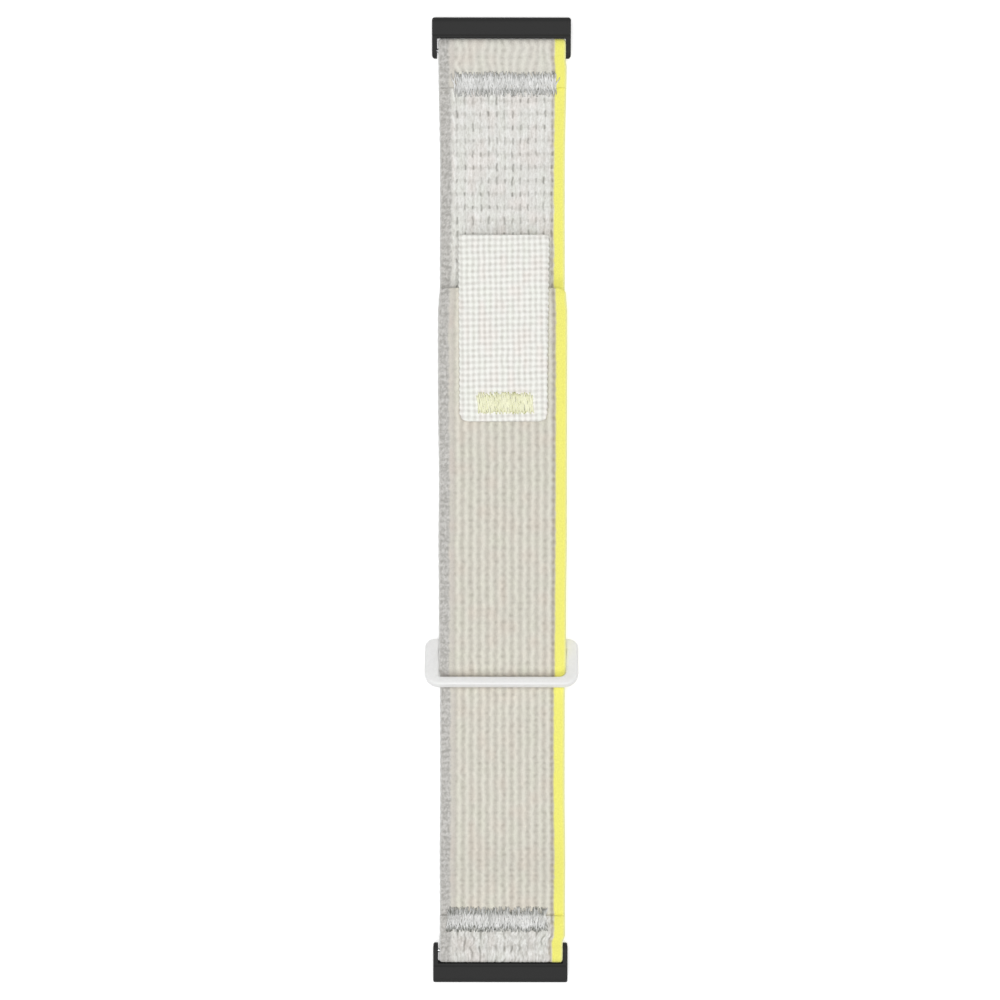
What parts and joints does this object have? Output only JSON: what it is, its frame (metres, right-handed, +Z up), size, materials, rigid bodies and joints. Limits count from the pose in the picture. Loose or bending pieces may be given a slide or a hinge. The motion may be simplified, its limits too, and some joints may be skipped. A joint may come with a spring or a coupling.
{
  "type": "hook and loop watch strap",
  "caption": "Woven hook and loop watch strap closed through a moulded ring, with a sewn pull tab and black slide-in adapters with spring bars and sprung catches",
  "frame": {"origin": "on the surface that the closed strap lies on, under the middle of its length and width", "axes": "+X across the strap, +Y along it towards the upper adapter, +Z up, away from the wrist"},
  "size_m": [0.0244, 0.1542, 0.0065],
  "materials": {
    "webbing": "woven nylon, cream ribs on grey-beige, speckled grey left edge and smooth yellow right edge",
    "seam_thread": "silver-grey satin stitch thread",
    "hook_tape": "off-white moulded nylon hooks",
    "tab_webbing": "white plain-woven tape",
    "tack_thread": "pale yellow-green satin thread",
    "ring_plastic": "white moulded plastic, satin gloss",
    "adapter_coating": "matte black coating",
    "steel": "plain stainless steel"
  },
  "bodies": {
    "upper_strap": {"strap_upper": "webbing", "upper_fold_stitching": "seam_thread", "ring_fold_stitching": "seam_thread"},
    "upper_adapter": {"upper_adapter_frame": "adapter_coating", "upper_pin_tube": "steel", "upper_pin_tip_left": "steel", "upper_pin_tip_right": "steel", "upper_pin_spring": "steel", "upper_catch_plate": "steel", "upper_catch_spring": "steel"},
    "upper_catch_body": {"upper_catch": "steel"},
    "ring_body": {"ring": "ring_plastic"},
    "lower_strap": {"strap_lower": "webbing", "lower_fold_stitching": "seam_thread"},
    "free_end": {"strap_free_end": "webbing", "hook_patch": "hook_tape", "pull_tab_foot": "tab_webbing", "tab_bartack": "tack_thread"},
    "tab": {"pull_tab": "tab_webbing"},
    "lower_adapter": {"lower_adapter_frame": "adapter_coating", "lower_pin_tube": "steel", "lower_pin_tip_left": "steel", "lower_pin_tip_right": "steel", "lower_pin_spring": "steel", "lower_catch_plate": "steel", "lower_catch_spring": "steel"},
    "lower_catch_body": {"lower_catch": "steel"}
  },
  "joints": [
    {"name": "upper_adapter_hinge", "type": "hinge", "parent": "upper_strap", "child": "upper_adapter", "pos_m": [0, 0.07195, 0.00175], "axis": [1, 0, 0], "range_deg": [-90, 90]},
    {"name": "upper_catch_slide", "type": "slide", "parent": "upper_adapter", "child": "upper_catch_body", "axis": [0, 0, 1], "range_m": [0, 0.00035], "stiffness_N_per_m": 400, "deforming": ["upper_catch_spring"]},
    {"name": "ring_hinge", "type": "hinge", "parent": "upper_strap", "child": "ring_body", "pos_m": [0, -0.02195, 0.00182], "axis": [-1, 0, 0], "range_deg": [0, 45]},
    {"name": "strap_slide", "type": "slide", "parent": "upper_strap", "child": "lower_strap", "axis": [0, 1, 0], "range_m": [-0.03, 0.024]},
    {"name": "peel_hinge", "type": "hinge", "parent": "lower_strap", "child": "free_end", "pos_m": [0, 0.0125, 0.00484], "axis": [1, 0, 0], "range_deg": [0, 110]},
    {"name": "tab_hinge", "type": "hinge", "parent": "free_end", "child": "tab", "pos_m": [0, 0.019, 0.00559], "axis": [1, 0, 0], "range_deg": [0, 60]},
    {"name": "lower_adapter_hinge", "type": "hinge", "parent": "lower_strap", "child": "lower_adapter", "pos_m": [0, -0.07195, 0.00175], "axis": [-1, 0, 0], "range_deg": [-90, 90]},
    {"name": "lower_catch_slide", "type": "slide", "parent": "lower_adapter", "child": "lower_catch_body", "axis": [0, 0, 1], "range_m": [0, 0.00035], "stiffness_N_per_m": 400, "deforming": ["lower_catch_spring"]}
  ]
}
